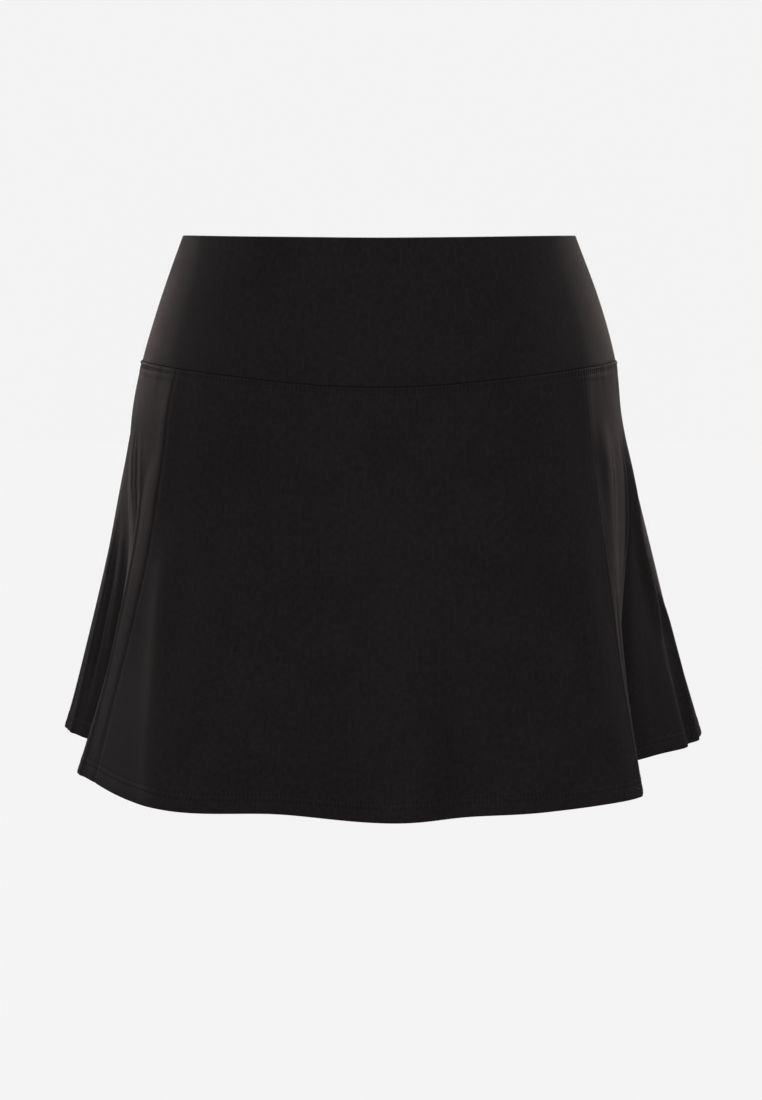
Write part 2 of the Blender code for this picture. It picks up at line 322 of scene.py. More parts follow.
class SkortStudio(bpy.types.PropertyGroup):
    """The pale studio and its camera."""

    backdrop_colour: colour_setting(
        "Backdrop colour", "Colour of the floor and the backdrop", (0.896, 0.896, 0.896))
    light_all_round: bpy.props.FloatProperty(
        name="Light all round", description="Even light that reaches the cloth from every side",
        default=0.33)
    light_above: bpy.props.FloatProperty(
        name="Light above", description="Light that grows towards the ceiling, added to the even light",
        default=0.39)
    light_ahead: bpy.props.FloatProperty(
        name="Light ahead", description="Light that grows towards the front, added to the even light",
        default=0.42)
    floor_drop: length_setting("Floor", "Depth of the floor below the waist", 1.02)
    front_light: power_setting("Front light", "Power of the wide soft light in front", 4.2)
    back_light: power_setting("Back light", "Power of the wide soft light high behind", 7.0)
    left_light: power_setting("Left light", "Power of the soft light at the wearer's left", 0.40)
    right_light: power_setting("Right light", "Power of the soft light at the wearer's right", 0.48)
    hip_light: power_setting("Hip lights", "Power of each narrow warm light behind the hips", 0.100)
    hip_light_colour: colour_setting(
        "Hip light colour", "Colour of the lights behind the hips", (1.0, 0.78, 0.72))
    camera_distance: length_setting(
        "Camera distance", "Distance of the camera in front of the waist", 1.9)
    camera_lens: bpy.props.FloatProperty(
        name="Lens", description="Focal length on a frame 36 mm high",
        default=92.65, unit="CAMERA")
    camera_tilt: bpy.props.FloatProperty(
        name="Tilt", description="Angle by which the camera looks down",
        default=math.radians(6.35), subtype="ANGLE")


# The form


def curve_through(knots, points):
    """Return a function that follows a smooth curve through the points, one at each knot."""
    knots, points = np.array(knots, float), np.array(points, float)
    last = len(knots) - 1
    before, after = np.arange(last + 1) - 1, np.arange(last + 1) + 1
    before[0], after[-1] = 0, last
    slopes = (points[after] - points[before]) / (knots[after] - knots[before])[:, None]

    def at(knot):
        index = np.clip(np.searchsorted(knots, knot, side="right") - 1, 0, last - 1)
        span = (knots[index + 1] - knots[index])[..., None]
        t = (np.asarray(knot) - knots[index])[..., None] / span
        curve = (1 + 2 * t) * (1 - t) ** 2 * points[index]
        curve = curve + t * (1 - t) ** 2 * span * slopes[index]
        curve = curve + t * t * (3 - 2 * t) * points[index + 1]
        curve = curve + t * t * (t - 1) * span * slopes[index + 1]
        return np.moveaxis(curve, -1, 0)

    return at


def fold_curve():
    """Folds as a closed curve: fold number n is reached at turn n, and the list repeats round it."""
    count = len(FOLDS)
    knots = range(-3, count + 4)
    rows = [FOLDS[turn % count] for turn in knots]
    laps = [360 * (turn // count) for turn in knots]

    def row_of(fold, lap):
        return fold.ring + lap, fold.hem_x, fold.hem_y, fold.length, fold.start

    return curve_through(knots, [row_of(fold, lap) for fold, lap in zip(rows, laps)])


figure_at = curve_through([section.height for section in FIGURE], [section[1:] for section in FIGURE])
fold_at = fold_curve()
SEAM_TURNS = [turn for turn, fold in enumerate(FOLDS) if fold.gore]


def cloth_length(turn):
    """Length of the skirt's cloth, from the yoke seam to the hem."""
    return fold_at(turn)[3]


def figure_point(degrees, height):
    """Points on the figure, at an angle counted from centre front towards the left."""
    lean, half_width, front, back = figure_at(height)
    sine, cosine = np.sin(np.radians(degrees)), np.cos(np.radians(degrees))
    half_depth = np.where(cosine > 0, front, back)
    reach = (np.abs(sine) / half_width) ** SQUARENESS + (np.abs(cosine) / half_depth) ** SQUARENESS
    radius = reach ** (-1 / SQUARENESS)
    return np.stack(np.broadcast_arrays(lean + radius * sine, -radius * cosine, height), -1)


def yoke_seam_height(degrees):
    return -YOKE_DEPTH_AT_SIDES - YOKE_SEAM_DIP * np.cos(np.radians(degrees)) ** 2


def yoke_point(degrees, fall):
    """Points on the yoke's form, from its top edge at fall 0 to its seam at fall 1."""
    top = -WAIST_DIP * np.cos(np.radians(degrees)) ** 2
    return figure_point(degrees, top + (yoke_seam_height(degrees) - top) * fall)


def skirt_point(turn, fall):
    """Points on the skirt's form, from the yoke seam at fall 0 to the hem at fall 1."""
    ring, hem_x, hem_y, length, start = fold_at(turn)
    top = yoke_seam_height(ring)
    at_seam = figure_point(ring, top)
    run = np.hypot(hem_x - at_seam[..., 0], hem_y - at_seam[..., 1])
    hem_height = top - np.sqrt(length**2 - run**2)
    point = figure_point(ring, top + (hem_height - top) * fall)
    under_hips = figure_point(ring, hem_height)
    away = (np.clip((fall - start) / (1 - start), 0, 1) ** FLARE_POWER)[..., None]
    hem = np.stack([hem_x, hem_y], -1)
    point[..., :2] += (hem - under_hips[..., :2]) * away
    return point


def shorts_point(turn, fall):
    """Points on the left half of the shorts: turn runs from -1 in front, round the outside, to 1.

    Above the rise it is half of the seat, and below the crotch it is one leg. Between them the two
    front and back ends close in on each other along the curve of the rise.
    """
    top = yoke_seam_height(90 + 90 * turn)
    rise = np.sin(np.clip(fall / RISE_SHARE, 0, 1) * math.pi / 2)
    leg = np.clip((fall - RISE_SHARE) / (1 - RISE_SHARE), 0, 1)
    height = top + (CROTCH_HEIGHT - top) * rise + (SHORTS_HEM_HEIGHT - CROTCH_HEIGHT) * leg
    lean = figure_at(height)[0]
    middle = np.stack(np.broadcast_arrays(lean, 0.0, height), -1)
    seat = figure_point(90 + 90 * turn, height)
    inward = middle - seat
    inward /= np.linalg.norm(inward, axis=-1, keepdims=True)
    seat = seat + inward * (SHORTS_EASE + SHORTS_TAPER * (-YOKE_DEPTH_AT_SIDES - height))[..., None]
    around = math.pi * turn
    leg_x = lean + LEG_PARTING * leg + LEG_HALF_WIDTH * (1 + np.cos(around))
    leg_ring = np.stack(np.broadcast_arrays(leg_x, LEG_HALF_DEPTH * np.sin(around), height), -1)
    drop = np.clip((RISE_START - height) / (RISE_START - CROTCH_HEIGHT), 0, 1)
    closed = (1 - np.sqrt(1 - drop * drop))[..., None]
    point = seat + (leg_ring - seat) * closed
    point[..., 0] -= SHORTS_LAP
    return point


def right_shorts_point(turn, fall):
    """The left half mirrored, and run from back to front so that its outside stays outside."""
    point = shorts_point(-turn, fall)
    point[..., 0] = 2 * figure_at(point[..., 2])[0] - point[..., 0]
    return point


# The relief of the cloth on its form


def bump(distance, width):
    """A soft hill, 1 high at distance 0."""
    return np.exp(-((distance / width) ** 2))


def ease(share):
    """0 to 1 with a soft start and end."""
    share = np.clip(share, 0, 1)
    return share * share * (3 - 2 * share)


def roll_in(distance, width, depth):
    """How far cloth sinks as it rolls over into a seam, by the distance from it."""
    left = np.clip(1 - distance / width, 0, 1)
    return -depth * (1 - np.sqrt(1 - left * left))


def twin_rows(row, gauge):
    """Where two rows of stitches run, by their distances from a seam or an edge."""
    return row, row + gauge


def grooves(distance, rows):
    """How deep stitches press the cloth in, as a share, at a distance from the seam or edge."""
    return sum(bump(distance - row, GROOVE_WIDTH) for row in rows)


def round_phase(wave, turn):
    return wave.shift + 2 * math.pi * wave.round_waves * turn / len(FOLDS)


def crease_relief(turn, fall, per_turn):
    """Height of the creases and of the slow waves of the skirt."""
    relief = np.zeros(np.broadcast(turn, fall).shape)
    half_round = len(FOLDS) / 2
    for crease in CREASES:
        turns, falls = zip(*crease.path)
        first, last = falls[0], falls[-1]
        middle = np.interp(fall, falls, turns)
        away = (turn - middle + half_round) % len(FOLDS) - half_round
        fade_in = ease((fall - first) / (CREASE_RISE * (last - first)))
        fade_out = 1.0 if last == 1.0 else ease((last - fall) / (CREASE_END * (last - first)))
        spread = crease.width * (CREASE_WIDTH_AT_SEAM + CREASE_WIDENING * fall)
        relief += crease.height * fade_in * fade_out * bump(away * per_turn, spread)
    for wave in WAVES:
        phase = round_phase(wave, turn) + 2 * math.pi * wave.down_waves * fall
        relief += wave.height * ease(fall / WAVE_RISE) * np.sin(phase)
    return relief


def seam_relief(turn, per_turn, size):
    """Grooves along the gore seams, and the allowance that shows through on their back side."""
    relief = 0.0
    half_round = len(FOLDS) / 2
    for seam in SEAM_TURNS:
        away = ((turn - seam + half_round) % len(FOLDS) - half_round) * per_turn
        behind = away if seam < half_round else -away
        relief = relief + roll_in(np.abs(away), size.seam_roll, size.seam_sink)
        relief = relief + SEAM_RIDGE.height * bump(away, SEAM_RIDGE.width)
        to_end = size.allowance + ALLOWANCE_LIFT_START - behind
        over_it = ease(behind / ALLOWANCE_LIFT_START) * ease(to_end / ALLOWANCE_LIFT_FADE)
        relief = relief + ALLOWANCE_LIFT * over_it
    return relief


def join_relief(turn, down, size):
    """The skirt just below the yoke seam: groove, welt, twin rows over the allowance, and puckers."""
    relief = roll_in(down, size.join_roll, size.join_sink)
    relief = relief + size.join_welt * bump(down - WELT_PLACE, WELT_WIDTH)
    relief = relief + JOIN_LIFT * ease((JOIN_LIFT_END - down) / JOIN_LIFT_FADE)
    for wave in PUCKERS:
        relief = relief + wave.height * np.sin(round_phase(wave, turn)) * np.exp(-down / PUCKER_REACH)
    return relief - size.stitch_sink * grooves(down, twin_rows(size.join_row, size.join_gauge))


def hem_relief(up, size):
    """The skirt just above its edge: rolled edge, swollen turning and twin rows."""
    relief = -rounded_edge(up, size.skirt_cloth)
    rows = twin_rows(size.hem_row, size.hem_gauge)
    below_rows, between_rows = TURNING_SHARE * size.hem_row, sum(rows) / 2
    relief = relief + TURNING_RIDGE.height * bump(up - below_rows, TURNING_RIDGE.width)
    relief = relief + HEM_RIDGE.height * bump(up - between_rows, HEM_RIDGE.width)
    return relief - size.stitch_sink * grooves(up, rows)


def rounded_edge(up, radius):
    """How far a face draws back as it rounds over a folded edge, by the distance from the edge."""
    past = np.clip(radius - up, 0, radius) * EDGE_ROUND
    return radius - np.sqrt(radius * radius - past * past)


def unit(vectors):
    return vectors / np.linalg.norm(vectors, axis=-1, keepdims=True)


def outward(point_at, across, fall, step_across, step_fall):
    """Unit normals out of a form, and how long one step across it is."""
    along = point_at(across + step_across, fall) - point_at(across - step_across, fall)
    lower, upper = np.clip(fall + step_fall, 0, 1), np.clip(fall - step_fall, 0, 1)
    down = point_at(across, lower) - point_at(across, upper)
    per_step = np.linalg.norm(along, axis=-1) / (2 * step_across)
    return unit(np.cross(down, along)), per_step


def skirt_surface(turn, fall, size, proud=0.0):
    """Points and normals on the outside of the skirt's cloth, with all its relief."""
    turn, fall = np.broadcast_arrays(np.asarray(turn, float), np.asarray(fall, float))
    normal, per_turn = outward(skirt_point, turn, fall, *SKIRT_STEPS)
    length = cloth_length(turn)
    relief = crease_relief(turn, fall, per_turn) + seam_relief(turn, per_turn, size)
    relief += join_relief(turn, fall * length, size) + hem_relief((1 - fall) * length, size)
    return skirt_point(turn, fall) + normal * (relief + proud)[..., None], normal


def turned_edge(up, turn_depth, layer):
    """How far in the inner face lies near a hem: one layer, two over the turning, none at the edge."""
    return layer + layer * ease((turn_depth - up) / TURNING_STEP) - rounded_edge(up, layer)


def skirt_inside(turn, fall, size, deeper=0.0):
    """Points on the inside of the skirt's cloth, or deeper in."""
    turn, fall = np.broadcast_arrays(np.asarray(turn, float), np.asarray(fall, float))
    normal, per_turn = outward(skirt_point, turn, fall, *SKIRT_STEPS)
    thick = turned_edge((1 - fall) * cloth_length(turn), size.hem_turn, size.skirt_cloth)
    inward = thick - crease_relief(turn, fall, per_turn) + deeper
    return skirt_point(turn, fall) - normal * inward[..., None]


# Meshes


# How fast the steps of a grid widen with the distance from its marks
STEP_GROWTH = 0.35

# Edges that turn by more than this stay sharp in the shading
SHARP_ANGLE = math.radians(55)


def crowded(total, marks, near, far):
    """Places from 0 to total: "near" apart at the marks, and more and more towards "far" between them."""
    fine = np.linspace(0, total, 4001)
    from_mark = np.abs(fine[:, None] - np.array(marks)).min(axis=1)
    step = np.clip(near + STEP_GROWTH * from_mark, near, far)
    count = np.concatenate([[0], np.cumsum(np.diff(fine) * (1 / step[1:] + 1 / step[:-1]) / 2)])
    return np.interp(np.linspace(0, count[-1], math.ceil(count[-1]) + 1), count, fine)


def in_fixed_order(slab):
    """Sort faces and edges by their vertices, because an extrusion leaves them in no fixed order."""
    slab.verts.index_update()
    most = len(slab.verts)

    def place_in_order(element):
        numbers = sorted(vertex.index for vertex in element.verts)
        first, second, third = (*numbers, 0)[:3]
        return (first * most + second) * most + third

    slab.faces.sort(key=place_in_order)
    slab.edges.sort(key=place_in_order)


def cloth_panel(outer, inner, **uv_maps):
    """A closed panel, from grids of points for its outer and inner faces, as a mesh.

    A flat grid is extruded to a slab, and then each of its points is put in its place.
    """
    rows, columns = outer.shape[:2]
    slab = bmesh.new()
    bmesh.ops.create_grid(slab, x_segments=columns - 1, y_segments=rows - 1, size=0.5)
    made = bmesh.ops.extrude_face_region(slab, geom=slab.faces[:], use_keep_orig=True)["geom"]
    inside = [item for item in made if isinstance(item, bmesh.types.BMVert)]
    bmesh.ops.translate(slab, verts=inside, vec=(0.0, 0.0, 1.0))
    bmesh.ops.recalc_face_normals(slab, faces=slab.faces)
    in_fixed_order(slab)
    places = {}
    for vertex in slab.verts:
        row, column = round((vertex.co.y + 0.5) * (rows - 1)), round((vertex.co.x + 0.5) * (columns - 1))
        places[vertex] = row, column
        vertex.co = (outer if vertex.co.z < 0.5 else inner)[row, column]
    for name, flat in uv_maps.items():
        layer = slab.loops.layers.uv.new(name)
        for face in slab.faces:
            for loop in face.loops:
                loop[layer].uv = flat[places[loop.vert]]
    mesh = bpy.data.meshes.new("panel")
    slab.to_mesh(mesh)
    slab.free()
    return mesh


def thread(rows, width):
    """Sewing thread along rows of points, each given with whether it closes on itself, as a mesh."""
    curve = bpy.data.curves.new("thread", "CURVE")
    curve.dimensions = "3D"
    curve.bevel_depth = width / 2
    curve.bevel_resolution = 1
    curve.use_fill_caps = True
    for points, closed in rows:
        spline = curve.splines.new("POLY")
        spline.points.add(len(points) - 1)
        spline.points.foreach_set("co", np.pad(points, ((0, 0), (0, 1))).ravel())
        spline.use_cyclic_u = closed
    holder = bpy.data.objects.new("thread", curve)
    mesh = bpy.data.meshes.new_from_object(holder)
    bpy.data.objects.remove(holder)
    bpy.data.curves.remove(curve)
    tube = bmesh.new()
    tube.from_mesh(mesh)
    bmesh.ops.remove_doubles(tube, verts=tube.verts, dist=0.000001)
    tube.to_mesh(mesh)
    tube.free()
    return mesh


def joined(meshes):
    """One mesh of several."""
    whole = bmesh.new()
    for mesh in meshes:
        whole.from_mesh(mesh)
        bpy.data.meshes.remove(mesh)
    mesh = bpy.data.meshes.new("joined")
    whole.to_mesh(mesh)
    whole.free()
    return mesh


def add_piece(name, mesh, material):
    """Put a mesh in the scene as a piece of the skort."""
    mesh.name = name
    mesh.shade_smooth()
    mesh.set_sharp_from_angle(angle=SHARP_ANGLE)
    mesh.materials.clear()
    mesh.materials.append(material)
    piece = bpy.data.objects.new(name, mesh)
    bpy.context.scene.collection.objects.link(piece)
    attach(piece, BODY)
    return piece


def lengths_along(grid, axis):
    """Distance from the first point of each row or column of a grid of points."""
    steps = np.linalg.norm(np.diff(grid, axis=axis), axis=-1)
    start = np.zeros_like(np.take(steps, [0], axis=axis))
    return np.concatenate([start, np.cumsum(steps, axis=axis)], axis=axis)


def flat_places(grid):
    """Flat coordinates of a cloth in metres: across from its middle line, and down from its top."""
    across = lengths_along(grid, 1)
    across = across - across[:, -1:] / 2
    return np.stack([across, -lengths_along(grid, 0)], -1)


# Materials


def node(tree, kind, **inputs):
    """Add a shader node and set or link its inputs. An input named i0 or i1 is taken by its number."""
    made = tree.nodes.new("ShaderNode" + kind)
    for name, value in inputs.items():
        socket = made.inputs[int(name[1:]) if name[1:].isdigit() else name]
        if isinstance(value, bpy.types.NodeSocket):
            tree.links.new(value, socket)
        else:
            socket.default_value = value
    return made


def maths(tree, operation, *values):
    made = node(tree, "Math", **{f"i{index}": value for index, value in enumerate(values)})
    made.operation = operation
    return made.outputs[0]


def uv_places(tree, name):
    uv = tree.nodes.new("ShaderNodeUVMap")
    uv.uv_map = name
    parts = node(tree, "SeparateXYZ", Vector=uv.outputs["UV"])
    return parts.outputs["X"], parts.outputs["Y"]


def new_material(name):
    """A new material, its node tree and its shader."""
    material = bpy.data.materials.new(name)
    material.use_nodes = True
    return material, material.node_tree, material.node_tree.nodes["Principled BSDF"]


def shaded_colour(tree, colour, shade, shader):
    """Colour the shader evenly, but for a grey shade that varies over the surface."""
    tint = node(tree, "Mix")
    tint.data_type = "RGBA"
    tint.blend_type = "MULTIPLY"
    tint.inputs["Factor"].default_value = 1.0
    tint.inputs["A"].default_value = (*colour, 1.0)
    grey = node(tree, "CombineColor", Red=shade, Green=shade, Blue=shade)
    tree.links.new(grey.outputs[0], tint.inputs["B"])
    tree.links.new(tint.outputs["Result"], shader.inputs["Base Color"])


def noise(tree, across, down, fineness_across, fineness_down, detail=2.0):
    """Noise on the flat cloth, with so many grains in a metre across and down it."""
    place = node(tree, "CombineXYZ", X=maths(tree, "MULTIPLY", across, fineness_across),
                 Y=maths(tree, "MULTIPLY", down, fineness_down))
    return node(tree, "TexNoise", Vector=place.outputs[0], Scale=1.0, Detail=detail).outputs[0]


def knit(tree, across, down, wale, course):
    """The knit's height, from 0 to 1: columns of loops, each loop a small V."""
    share = maths(tree, "FRACT", maths(tree, "DIVIDE", across, wale))
    from_middle = maths(tree, "ABSOLUTE", maths(tree, "SUBTRACT", share, 0.5))
    column = maths(tree, "SINE", maths(tree, "MULTIPLY", share, math.pi))
    slanted = maths(tree, "ADD", maths(tree, "DIVIDE", down, course), from_middle)
    loops = maths(tree, "COSINE", maths(tree, "MULTIPLY", slanted, 2 * math.pi))
    return maths(tree, "MULTIPLY", column, maths(tree, "MULTIPLY_ADD", loops, 0.30, 0.70))


def stitch_pulls_and_shade(tree, reach):
    """How near a row of stitches is, 0.8 on it and 0 at a reach from it, and how far they pull there. Both
    masks serve as dents in the bump, and as painted shade and a painted highlight in the colour.
    """
    number, distance = uv_places(tree, "stitched")
    near = maths(tree, "SUBTRACT", 1.0, maths(tree, "DIVIDE", distance, reach))
    near = maths(tree, "SMOOTH_MIN", maths(tree, "MAXIMUM", near, 0.0), 0.8, 0.2)
    round_stitch = maths(tree, "COSINE", maths(tree, "MULTIPLY", number, 2 * math.pi))
    hole = maths(tree, "MULTIPLY_ADD", round_stitch, 0.5, 0.5)
    return near, maths(tree, "MULTIPLY", near, hole)


# How far from a row of stitches their holes show, and how far they pull the cloth, as dents and as painted
# shade
HOLE_REACH = 0.0009
PULL_REACH = 0.0024

# A pattern multiplies the shade by its strength times itself, plus the rest
Tint = namedtuple("Tint", "pattern strength rest")


def jersey(name, colour, cloth):
    """Smooth stretch jersey: fine columns of loops, a faint grain, and a soft warm sheen, with painted shade
    at the stitches and in the knit's grooves, and a painted highlight along the rows of stitches.
    """
    material, tree, shader = new_material(name)
    across, down = uv_places(tree, "cloth")
    place = tree.nodes.new("ShaderNodeTexCoord").outputs["Object"]

    # The knit: its relief in the bump, and in the colour darker grooves, partly painted shade
    loops = knit(tree, across, down, cloth.wale, cloth.course)
    grain = noise(tree, across, down, fineness_across=400.0, fineness_down=300.0, detail=1.0)
    ribs = noise(tree, across, down, fineness_across=420.0, fineness_down=60.0)
    clouds = node(tree, "TexNoise", Vector=place, Scale=30.0, Detail=3.0).outputs[0]
    # Masks for the stitches' holes and pulls: dents in the bump, and painted shade in the colour
    _, hole_dents_and_shade = stitch_pulls_and_shade(tree, HOLE_REACH)
    near, pull_dents_and_shade = stitch_pulls_and_shade(tree, PULL_REACH)

    tints = (
        Tint(ribs, 0.24, 0.88),
        Tint(clouds, 0.30, 0.86),
        # The knit's pattern, darker in its grooves: partly the yarn's own pattern, partly painted shade
        Tint(loops, 0.24, 0.89),
        # Painted shade in the needle holes
        Tint(hole_dents_and_shade, -0.08, 1.0),
        # Painted shade in the dents that the stitches pull
        Tint(pull_dents_and_shade, -0.34, 1.0),
        # Painted highlight: a light band along each row of stitches, from the 'near' mask
        Tint(near, 0.32, 1.0),
    )
    shade = maths(tree, "MULTIPLY_ADD", grain, 0.85, 0.575)
    for tint in tints:
        factor = maths(tree, "MULTIPLY_ADD", tint.pattern, tint.strength, tint.rest)
        shade = maths(tree, "MULTIPLY", shade, factor)
    shaded_colour(tree, colour, shade, shader)
    rough = maths(tree, "MULTIPLY_ADD", grain, 0.16, 0.54)
    tree.links.new(rough, shader.inputs["Roughness"])

    fuzz = node(tree, "TexNoise", Vector=place, Scale=1500.0, Detail=2.0).outputs[0]
    height = maths(tree, "MULTIPLY", fuzz, 0.00003)
    for pattern, lift in ((loops, 0.00007), (grain, 0.00010), (hole_dents_and_shade, -0.00014), (pull_dents_and_shade, -0.00016)):
        height = maths(tree, "MULTIPLY_ADD", pattern, lift, height)
    bumps = node(tree, "Bump", Strength=1.0, Distance=1.0, Height=height)
    tree.links.new(bumps.outputs[0], shader.inputs["Normal"])

    shader.inputs["Specular IOR Level"].default_value = 0.055
    shader.inputs["Sheen Weight"].default_value = cloth.sheen
    shader.inputs["Sheen Roughness"].default_value = 0.5
    shader.inputs["Sheen Tint"].default_value = (*cloth.sheen_colour, 1.0)
    return material


def sewing_thread(name, colour):
    """Twisted polyester thread."""
    material, tree, shader = new_material(name)
    place = tree.nodes.new("ShaderNodeTexCoord").outputs["Object"]
    twist = node(tree, "TexNoise", Vector=place, Scale=2600.0, Detail=2.0).outputs[0]
    shaded_colour(tree, colour, maths(tree, "MULTIPLY_ADD", twist, 0.9, 0.55), shader)
    bumps = node(tree, "Bump", Strength=0.6, Distance=0.00008, Height=twist)
    tree.links.new(bumps.outputs[0], shader.inputs["Normal"])
    shader.inputs["Roughness"].default_value = 0.55
    shader.inputs["Specular IOR Level"].default_value = 0.12
    return material


def material_named(name, make, *details):
    """The material of that name, made if it isn't there yet."""
    return bpy.data.materials.get(name) or make(name, *details)


# Rows of stitches


def stitch_numbers(point_at, first, last, whole, size):
    """Match places on a closed row with the stitches counted along it.

    point_at gives points of the row for places from first to last, and one round is "whole" long
    in those places. It returns the places, their stitch numbers, and how many stitches go round.
    """
    places = np.linspace(first, last, 6001)
    along = lengths_along(point_at(places)[None], 1)[0]
    round_length = np.interp(first + whole, places, along)
    count = round(round_length / size.stitch)
    return places, along / round_length * count, count


def yoke_seam_stitches(size):
    middle = sum(twin_rows(size.join_row, size.join_gauge)) / 2
    return stitch_numbers(lambda turn: skirt_point(turn, middle / cloth_length(turn)),
                          0, len(FOLDS) + 2, len(FOLDS), size)


def hem_stitches(size):
    middle = sum(twin_rows(size.hem_row, size.hem_gauge)) / 2
    return stitch_numbers(lambda turn: skirt_point(turn, 1 - middle / cloth_length(turn)),
                          0, len(FOLDS) + 2, len(FOLDS), size)


def leg_fall(up):
    """How far down the shorts' form a height above the legs' edge is."""
    return 1 - up / LEG_LENGTH * (1 - RISE_SHARE)


def leg_stitches(point_at, size):
    fall = leg_fall(sum(twin_rows(size.leg_row, size.hem_gauge)) / 2)
    return stitch_numbers(lambda turn: point_at(turn, fall), -1, 1, 2, size)


def unstitched(grid):
    """UV coordinates of cloth with no stitching, as if its nearest row were 1 m away."""
    return np.stack([0 * grid, 0 * grid + 1], -1)


def stitched_places(place, distances, stitches):
    """UV coordinates of stitching: the stitch number, and the distance from the nearest row."""
    places, numbers, _ = stitches
    nearest = np.abs(np.stack(np.broadcast_arrays(*distances))).min(axis=0)
    return np.stack(np.broadcast_arrays(np.interp(place, places, numbers), nearest), -1)


# How far through one stitch, and how far above the cloth the thread then is
Beat = namedtuple("Beat", "share lift")
TOP_STITCH = (Beat(-0.04, -0.00042), Beat(0.10, 0.00006), Beat(0.50, 0.00017), Beat(0.90, 0.00006))


def beats_round(stitches, beats=TOP_STITCH):
    """Places of every beat of every stitch of a row, and the lifts there."""
    places, numbers, count = stitches
    wanted = np.arange(count)[:, None] + np.array([beat.share for beat in beats])
    wanted = np.where(wanted < 0, wanted + count, wanted)
    return np.interp(wanted.ravel(), numbers, places), np.tile([beat.lift for beat in beats], count)


# Pieces


class SKORT_OT_yoke(bpy.types.Operator):
    """Make the wide doubled yoke, in front and back halves"""

    bl_idname = "skort.yoke"
    bl_label = "Yoke"

    def execute(self, context):
        size, cloth = context.scene.skort_sizes, context.scene.skort_cloth
        material = material_named("yoke jersey", jersey, cloth.yoke_colour, cloth)
        for node_name, first in (("yoke_front", -90.0), ("yoke_back", 90.0)):
            make_yoke_half(node_name, first, size, material)
        return {"FINISHED"}


def yoke_waves(degrees, fall, up):
    """Slow waves of the yoke, and the ripples along its lower edge."""
    slow = YOKE_WAVE_HEIGHT * np.sin(degrees * 0.11 + 1.0) * np.sin(fall * 5.0 + degrees * 0.02)
    return slow + YOKE_RIPPLE_HEIGHT * np.sin(degrees * 0.31 + 0.4) * np.exp(-up / YOKE_RIPPLE_REACH)


def make_yoke_half(node_name, first, size, material):
    girth, depth = YOKE_HALF_GIRTH, YOKE_DEPTH_AT_SIDES + YOKE_SEAM_DIP / 2
    across = crowded(girth, (0, girth), near=0.0004, far=0.0034) / girth
    falls = crowded(depth, (0, 0.0012, depth - 0.001, depth), near=0.0002, far=0.0036) / depth
    degrees, fall = np.meshgrid(first + 180 * across, falls)
    form = yoke_point(degrees, fall)
    normal, per_degree = outward(yoke_point, degrees, fall, *YOKE_STEPS)
    down, up = fall * depth, (1 - fall) * depth
    top_fold = rounded_edge(down, YOKE_WALL / 2)
    beside = np.minimum(degrees - first, first + 180 - degrees) * per_degree
    waves = yoke_waves(degrees, fall, up)
    sunk = roll_in(beside, size.seam_roll, size.seam_sink)
    sunk = sunk + roll_in(up, size.join_roll, YOKE_EDGE_SINK * size.join_sink)
    outer = form + normal * (waves + sunk - top_fold)[..., None]
    inner = form - normal * (YOKE_WALL - waves + YOKE_INNER_SINK * sunk - top_fold)[..., None]
    mesh = cloth_panel(outer, inner, cloth=flat_places(form), stitched=unstitched(fall))
    piece = add_piece(node_name + "_cloth", mesh, material)
    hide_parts(node_name)


class SKORT_OT_gores(bpy.types.Operator):
    """Make the eight flared gores of the skirt"""

    bl_idname = "skort.gores"
    bl_label = "Skirt Gores"

    def execute(self, context):
        size, cloth = context.scene.skort_sizes, context.scene.skort_cloth
        material = material_named("skirt jersey", jersey, cloth.skirt_colour, cloth)
        for first, last in zip(SEAM_TURNS, SEAM_TURNS[1:] + [SEAM_TURNS[0] + len(FOLDS)]):
            make_gore(FOLDS[first].gore, first, last, size, material)
        return {"FINISHED"}


def make_gore(node_name, first, last, size, material):
    # The grid is fine where the cloth bends: at its seams, welt, stitches, turning and edge
    width = HEM_TO_A_TURN * (last - first)
    beside_seams = (0, size.allowance, width - size.allowance, width)
    across = crowded(width, beside_seams, near=0.0004, far=0.0018) / width
    join_rows = twin_rows(size.join_row, size.join_gauge)
    hem_rows = twin_rows(size.hem_row, size.hem_gauge)
    below_join = (0, 0.0012, *join_rows, 0.0088)
    above_hem = [SKIRT_FALL - up for up in (*hem_rows, size.hem_turn, 0)]
    falls = crowded(SKIRT_FALL, (*below_join, *above_hem), near=0.00024, far=0.0050) / SKIRT_FALL
    turn, fall = np.meshgrid(first + (last - first) * across, falls)
    outer, _ = skirt_surface(turn, fall, size)
    inner = skirt_inside(turn, fall, size)
    form = skirt_point(turn, fall)
    down = fall * cloth_length(turn)
    up = cloth_length(turn) - down
    near_hem = fall > 0.5
    stitched = np.where(
        near_hem[..., None],
        stitched_places(turn, [up - row for row in hem_rows], hem_stitches(size)),
        stitched_places(turn, [down - row for row in join_rows], yoke_seam_stitches(size)))
    mesh = cloth_panel(outer, inner, cloth=flat_places(form), stitched=stitched)
    piece = add_piece(node_name + "_cloth", mesh, material)
    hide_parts(node_name)
    middle = math.radians(fold_at((first + last) / 2)[0])


class SKORT_OT_shorts(bpy.types.Operator):
    """Make the plain inner shorts, in left and right halves"""

    bl_idname = "skort.shorts"
    bl_label = "Inner Shorts"

    def execute(self, context):
        size, cloth = context.scene.skort_sizes, context.scene.skort_cloth
        material = material_named("shorts jersey", jersey, cloth.shorts_colour, cloth)
        make_shorts_half("shorts_left", shorts_point, size, material)
        make_shorts_half("shorts_right", right_shorts_point, size, material)
        return {"FINISHED"}


